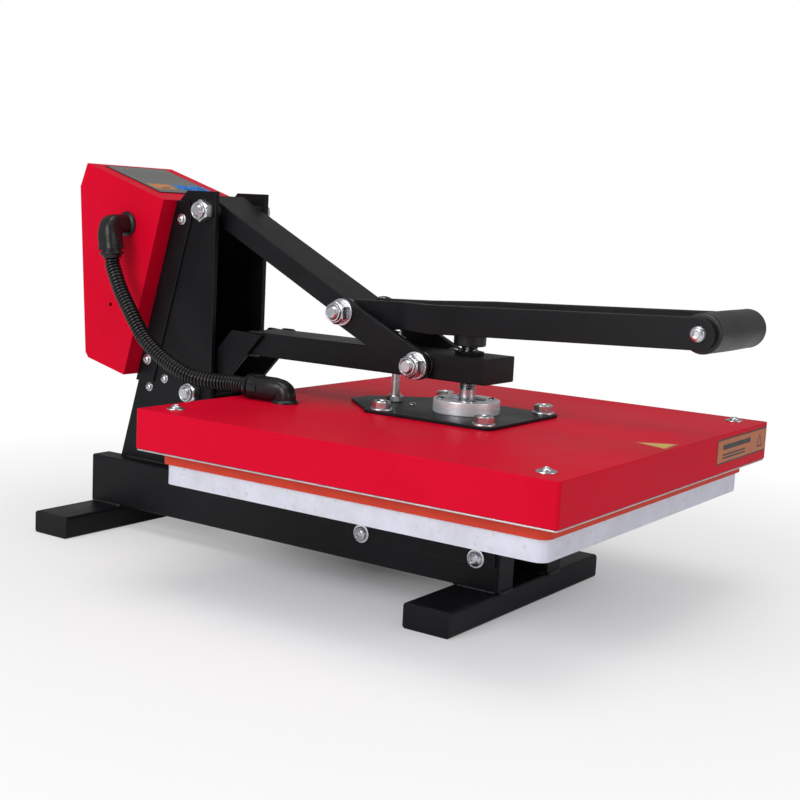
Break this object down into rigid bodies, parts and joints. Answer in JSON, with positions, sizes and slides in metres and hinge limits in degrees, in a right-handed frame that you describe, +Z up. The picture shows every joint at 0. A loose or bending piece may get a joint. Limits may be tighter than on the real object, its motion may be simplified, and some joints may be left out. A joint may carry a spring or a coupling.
{
  "type": "heat press",
  "caption": "Clamshell heat press with a toggle handle, heated upper plate, padded lower plate and a rear control box joined by a conduit.",
  "frame": {"origin": "on the floor plane, under the middle of the whole press", "axes": "+Z up, +Y from the hand grip towards the control box, +X to the right of someone at the grip"},
  "size_m": [0.41, 0.692, 0.371],
  "materials": {
    "red_paint": "smooth glossy powder coat",
    "black_paint": "satin powder coat",
    "zinc_steel": "bright zinc plate",
    "yellow_zinc": "yellow zinc plate",
    "bush_steel": "turned",
    "cast_aluminium": "sand cast",
    "plate_aluminium": "machined",
    "silicone": "closed-cell silicone foam",
    "hose_black": "glossy",
    "black_plastic": "moulded",
    "panel_grey": "membrane film",
    "display_film": "smoked window",
    "orange_film": "printed film",
    "blue_film": "printed film",
    "switch_red": "moulded",
    "board_green": "solder mask",
    "fibre": "needled fibre mat",
    "element_steel": "sheathed rod",
    "ceramic": "ceramic",
    "grip_black": "moulded sleeve"
  },
  "bodies": {
    "base": {"front_foot": "black_paint", "rear_foot": "black_paint", "left_rail": "black_paint", "right_rail": "black_paint", "tube_end_caps": "black_paint", "tower_left_plate": "black_paint", "tower_right_plate": "black_paint", "tower_web": "black_paint", "tower_pivot_bolts": "zinc_steel", "tower_pivot_nuts": "zinc_steel", "platen_support": "black_paint", "support_bolts": "zinc_steel", "lower_platen": "cast_aluminium", "silicone_pad": "silicone", "control_bracket": "black_paint", "bracket_screws": "zinc_steel", "control_box": "red_paint", "control_box_sides": "red_paint", "control_panel": "panel_grey", "display_window": "display_film", "power_inlet": "black_plastic", "circuit_board": "board_green", "solid_state_relay": "black_plastic", "box_elbow": "black_plastic", "conduit": "hose_black", "switch_bezel": "black_plastic"},
    "arm": {"arm_tube": "black_paint", "arm_legs": "black_paint", "arm_pivot_bush": "bush_steel", "arm_toggle_bush": "bush_steel", "pressure_nut": "bush_steel"},
    "head": {"cover": "red_paint", "heating_platen": "plate_aluminium", "insulation": "fibre", "heating_element": "element_steel", "thermostat": "ceramic", "mounting_plate": "black_paint", "mounting_bolts": "zinc_steel", "thrust_housing": "plate_aluminium", "thrust_screws": "zinc_steel", "stabiliser_rod": "zinc_steel", "stabiliser_nuts": "yellow_zinc", "cover_screws": "zinc_steel", "cover_elbow": "black_plastic"},
    "screw": {"pressure_screw": "zinc_steel", "pressure_knob": "black_plastic"},
    "handle": {"upper_link": "black_paint", "link_bushes": "bush_steel", "handle_left_bar": "black_paint", "handle_right_bar": "black_paint", "handle_grip": "grip_black", "grip_screws": "zinc_steel"},
    "toggles": {"toggle_bars": "black_paint", "toggle_pivot_bolts": "zinc_steel", "toggle_pivot_nuts": "zinc_steel"},
    "mode_key": {"mode_key": "orange_film"},
    "down_key": {"down_key": "blue_film"},
    "up_key": {"up_key": "blue_film"},
    "power_switch": {"power_switch": "switch_red"}
  },
  "joints": [
    {"name": "arm_lift", "type": "hinge", "parent": "base", "child": "arm", "pos_m": [0, 0.201, 0.149], "axis": [-1, 0, 0], "range_deg": [0, 42.12], "deforming": ["conduit"]},
    {"name": "head_height", "type": "slide", "parent": "arm", "child": "head", "axis": [0, 0, 1], "range_m": [0, 0.008]},
    {"name": "knob_turn", "type": "hinge", "parent": "head", "child": "screw", "pos_m": [0, -0.095, 0.22], "axis": [0, 0, 1], "range_deg": [0, 1440]},
    {"name": "handle_lift", "type": "hinge", "parent": "base", "child": "handle", "pos_m": [0, 0.191, 0.329], "axis": [-1, 0, 0], "range_deg": [0, 70]},
    {"name": "toggle_swing", "type": "hinge", "parent": "arm", "child": "toggles", "pos_m": [0, -0.061, 0.2035], "axis": [1, 0, 0], "range_deg": [0, 99.93]},
    {"name": "mode_key_press", "type": "slide", "parent": "base", "child": "mode_key", "axis": [0, 0.291, -0.9567], "range_m": [0, 0.0005], "stiffness_N_per_m": 400},
    {"name": "down_key_press", "type": "slide", "parent": "base", "child": "down_key", "axis": [0, 0.291, -0.9567], "range_m": [0, 0.0005], "stiffness_N_per_m": 400},
    {"name": "up_key_press", "type": "slide", "parent": "base", "child": "up_key", "axis": [0, 0.291, -0.9567], "range_m": [0, 0.0005], "stiffness_N_per_m": 400},
    {"name": "switch_rock", "type": "hinge", "parent": "base", "child": "power_switch", "pos_m": [0.0618, 0.305, 0.232], "axis": [0, 1, 0], "range_deg": [0, 16]}
  ],
  "couplings": [
    {"joint": "handle_lift", "follows": "arm_lift", "ratio": 1.6621},
    {"joint": "toggle_swing", "follows": "arm_lift", "ratio": 2.3726},
    {"joint": "knob_turn", "follows": "head_height", "rad_per_m": 3141.6}
  ]
}
